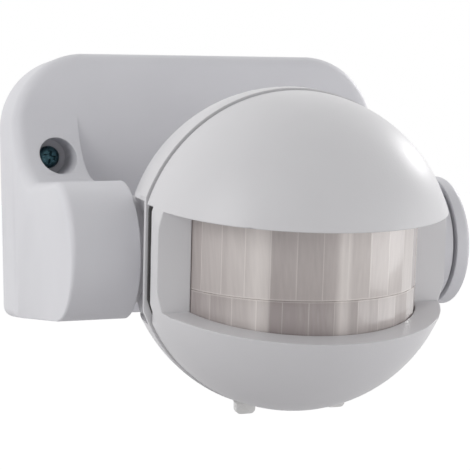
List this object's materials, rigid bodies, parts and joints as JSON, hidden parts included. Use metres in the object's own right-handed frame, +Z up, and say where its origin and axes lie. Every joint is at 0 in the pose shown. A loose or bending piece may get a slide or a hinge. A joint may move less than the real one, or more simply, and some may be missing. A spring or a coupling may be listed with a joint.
{
  "type": "wall-mounted motion sensor",
  "caption": "Wall bracket with two forward arms that carry a round tilting head with a wide curved lens window and setting knobs underneath.",
  "frame": {"origin": "middle of the back outline, on the wall face", "axes": "+Y into the wall, -Y out of the front, +X right as seen from the front, +Z up"},
  "size_m": [0.1044, 0.1186, 0.0908],
  "materials": {
    "housing_plastic": "fine-textured satin white ABS",
    "shell_plastic": "satin white ABS",
    "inner_plastic": "plain light grey moulding",
    "blue_zinc": "blue-passivated zinc",
    "steel": "bright zinc",
    "seal_rubber": "soft dark rubber",
    "grommet_rubber": "soft grey rubber",
    "terminal_plastic": "ivory polyamide",
    "terminal_brass": "nickel-free brass",
    "lead_insulation": "PVC insulation",
    "lens_plastic": "milky translucent polyethylene",
    "board": "green solder mask",
    "can_steel": "nickel-plated can",
    "filter_glass": "dark infrared filter",
    "cell_orange": "coated photocell",
    "black_plastic": "black moulded body",
    "relay_blue": "blue relay case",
    "film_yellow": "yellow film capacitor case",
    "disc_blue": "blue epoxy",
    "trimmer_blue": "blue trimmer case",
    "knob_plastic": "translucent natural nylon"
  },
  "bodies": {
    "bracket": {"bracket_housing": "housing_plastic", "wall_plate": "inner_plastic", "housing_screws": "blue_zinc", "cable_grommet": "grommet_rubber", "cable_clamp": "inner_plastic", "clamp_screws": "steel", "terminal_block": "terminal_plastic", "terminal_clamps": "terminal_brass", "terminal_screws": "steel", "bracket_leads": "lead_insulation"},
    "head": {"friction_washers": "steel", "trunnion_nuts": "inner_plastic", "rear_shell": "shell_plastic", "front_shell": "shell_plastic", "shell_seal": "seal_rubber", "fresnel_lens": "lens_plastic", "lens_retainer": "inner_plastic", "sensor_board": "board", "board_spacers": "inner_plastic", "pir_sensor": "can_steel", "pir_window": "filter_glass", "sensor_shroud": "inner_plastic", "light_sensor": "cell_orange", "board_header": "black_plastic", "main_board": "board", "relay": "relay_blue", "film_capacitor": "film_yellow", "smoothing_capacitor": "black_plastic", "varistor": "disc_blue", "board_diodes": "black_plastic", "trimmer_bodies": "trimmer_blue", "board_screws": "steel", "shell_screws": "steel", "head_leads": "lead_insulation", "knob_seals": "seal_rubber"},
    "time_knob": {"time_knob": "knob_plastic"},
    "lux_knob": {"lux_knob": "knob_plastic"}
  },
  "joints": [
    {"name": "head_tilt", "type": "hinge", "parent": "bracket", "child": "head", "pos_m": [0, -0.0587, -0.0155], "axis": [1, 0, 0], "range_deg": [-37, 37]},
    {"name": "time_knob_turn", "type": "hinge", "parent": "head", "child": "time_knob", "pos_m": [-0.0085, -0.07147, -0.0499], "axis": [0, 0.1271, -0.9919], "range_deg": [-135, 135]},
    {"name": "lux_knob_turn", "type": "hinge", "parent": "head", "child": "lux_knob", "pos_m": [0.015, -0.07147, -0.0499], "axis": [0, 0.1271, -0.9919], "range_deg": [-135, 135]}
  ]
}
